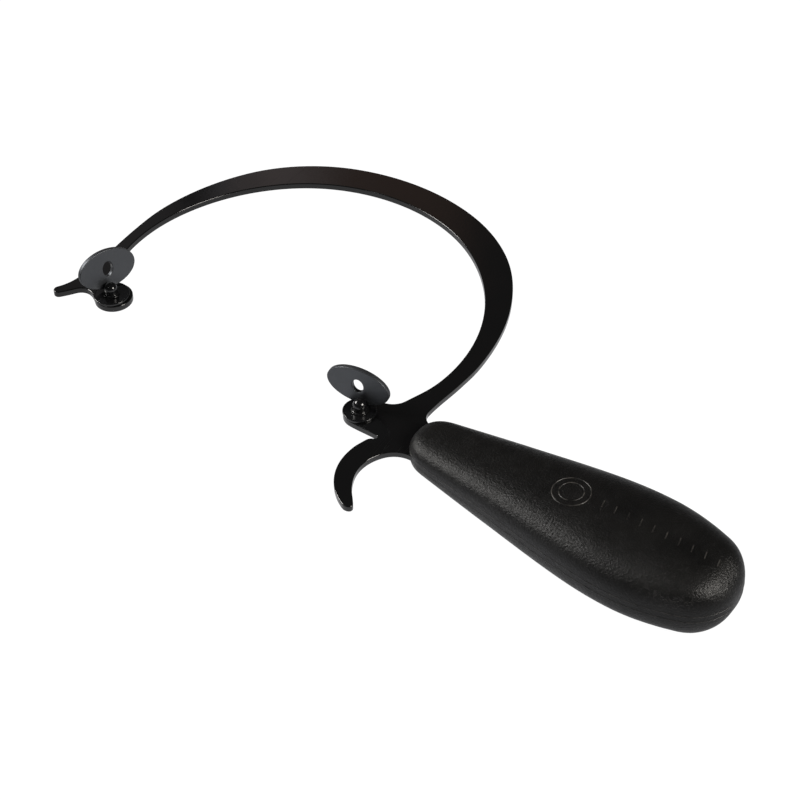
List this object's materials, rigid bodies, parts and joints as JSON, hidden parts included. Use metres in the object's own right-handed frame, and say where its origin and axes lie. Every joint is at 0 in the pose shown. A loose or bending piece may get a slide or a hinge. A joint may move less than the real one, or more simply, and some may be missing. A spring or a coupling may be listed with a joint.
{
  "type": "hand bow with finger hook",
  "caption": "Hand-held C-shaped bow on a moulded grip, with a finger hook and, at each end of the C, a domed post, a turning base ring and an upright oval plate with a hole.",
  "frame": {"origin": "near post's axis at the underside of the flat plate", "axes": "+X along the working line from the far post to the near post and on to the grip's butt, +Y from that line to the crown of the C, +Z out of the plate's top face"},
  "size_m": [0.2961, 0.1711, 0.0321],
  "materials": {
    "coated_sheet": "gloss black coated sheet",
    "grip_moulding": "satin black moulding with fine grain",
    "post_metal": "polished black",
    "ring_metal": "polished black",
    "plate_metal": "smooth dark grey"
  },
  "bodies": {
    "frame": {"bow_frame": "coated_sheet", "grip": "grip_moulding", "near_post": "post_metal", "far_post": "post_metal"},
    "near_ring": {"near_base_ring": "ring_metal"},
    "near_plate": {"near_tilt_plate": "plate_metal"},
    "far_ring": {"far_base_ring": "ring_metal"},
    "far_plate": {"far_tilt_plate": "plate_metal"}
  },
  "joints": [
    {"name": "near_ring_spin", "type": "hinge", "parent": "frame", "child": "near_ring", "pos_m": [0, 0, 0.00368], "axis": [0, 0, 1], "continuous": true},
    {"name": "near_plate_tilt", "type": "hinge", "parent": "near_ring", "child": "near_plate", "pos_m": [-0.00261, 0.0033, 0.00418], "axis": [-0.9893, -0.1461, 0], "range_deg": [0, 30]},
    {"name": "far_ring_spin", "type": "hinge", "parent": "frame", "child": "far_ring", "pos_m": [-0.12, 0, 0.00368], "axis": [0, 0, 1], "continuous": true},
    {"name": "far_plate_tilt", "type": "hinge", "parent": "far_ring", "child": "far_plate", "pos_m": [-0.12266, 0.00294, 0.00418], "axis": [-0.2436, -0.9699, 0], "range_deg": [0, 24]}
  ]
}
